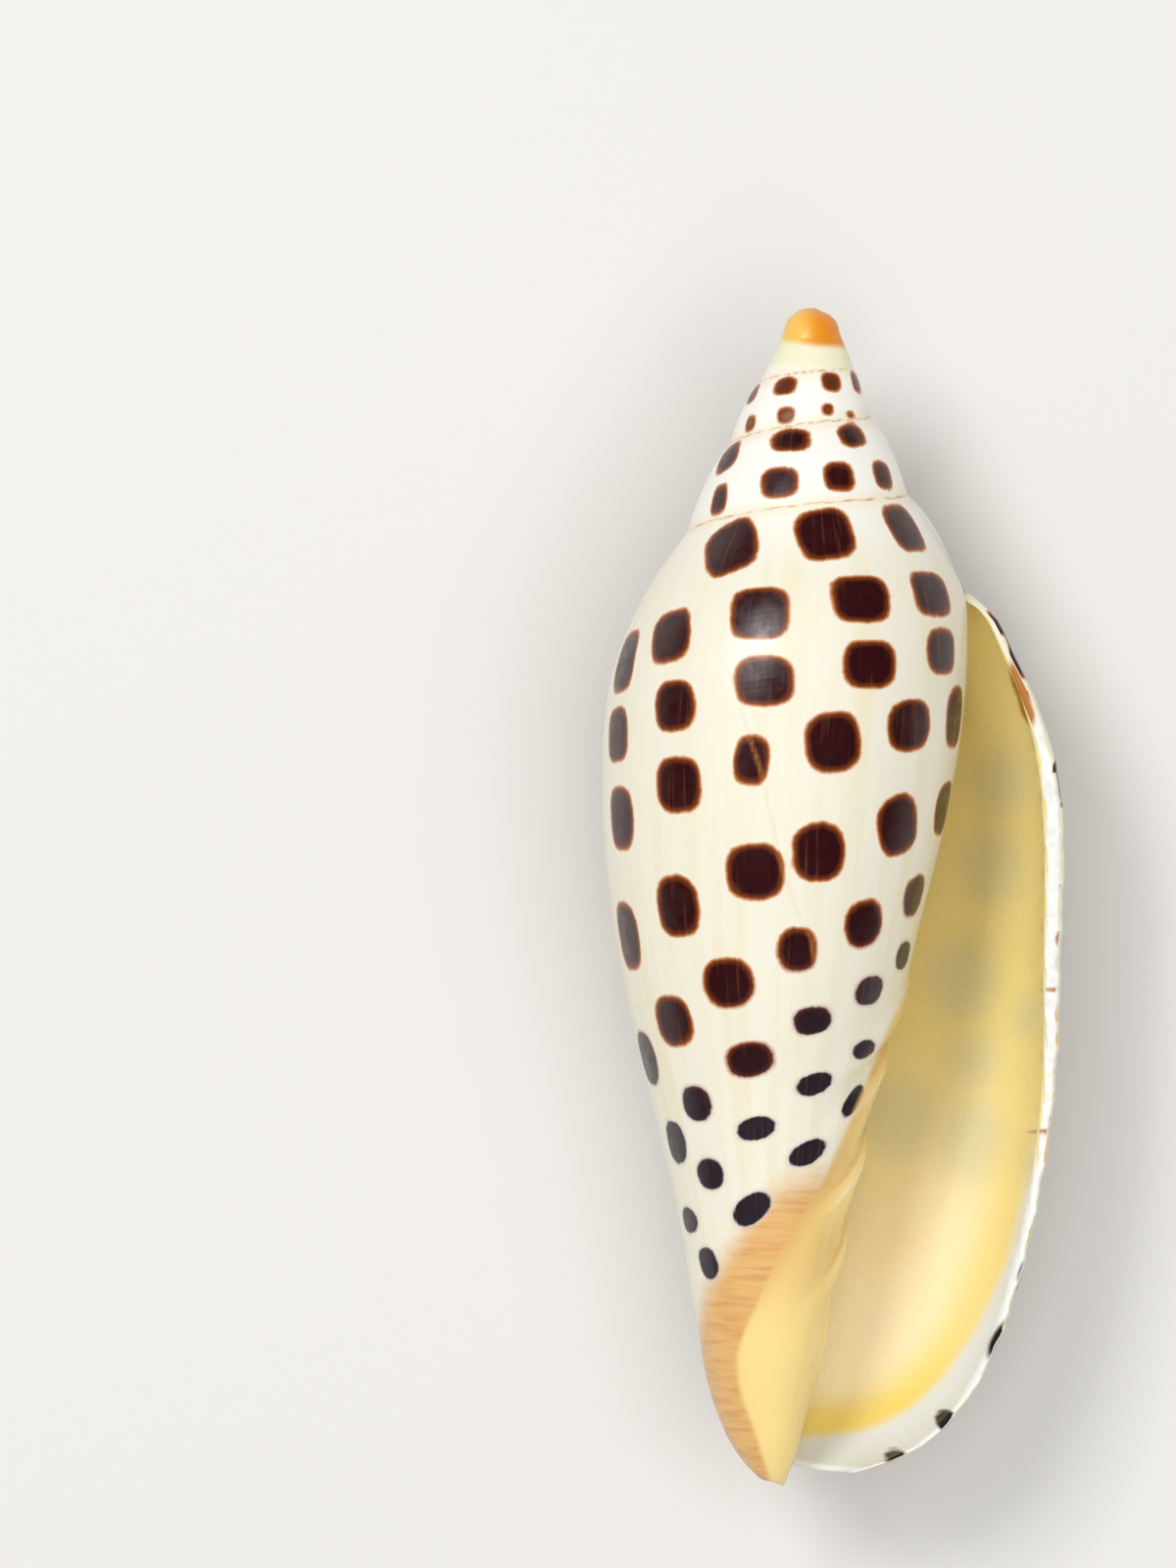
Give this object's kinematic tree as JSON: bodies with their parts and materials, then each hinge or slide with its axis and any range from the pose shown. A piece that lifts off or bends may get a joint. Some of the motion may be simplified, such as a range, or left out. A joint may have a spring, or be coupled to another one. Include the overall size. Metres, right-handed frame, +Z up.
{
  "type": "scaphella elizabethae shell",
  "caption": "Spindle-shaped dextral volute shell, hollow, with a long aperture, folded pillar and pointed spire; cream with rows of dark brown squarish spots.",
  "frame": {"origin": "middle of the bounding box in X and Y, at the foot of the shell in Z, in the plane it rests on", "axes": "+X towards the outer lip, +Y along the coiling axis towards the apex, +Z up, the way the aperture faces"},
  "size_m": [0.0392, 0.1, 0.0338],
  "materials": {
    "shell": "satin shell with dark spots"
  },
  "bodies": {
    "root": {"shell": "shell"}
  },
  "joints": []
}
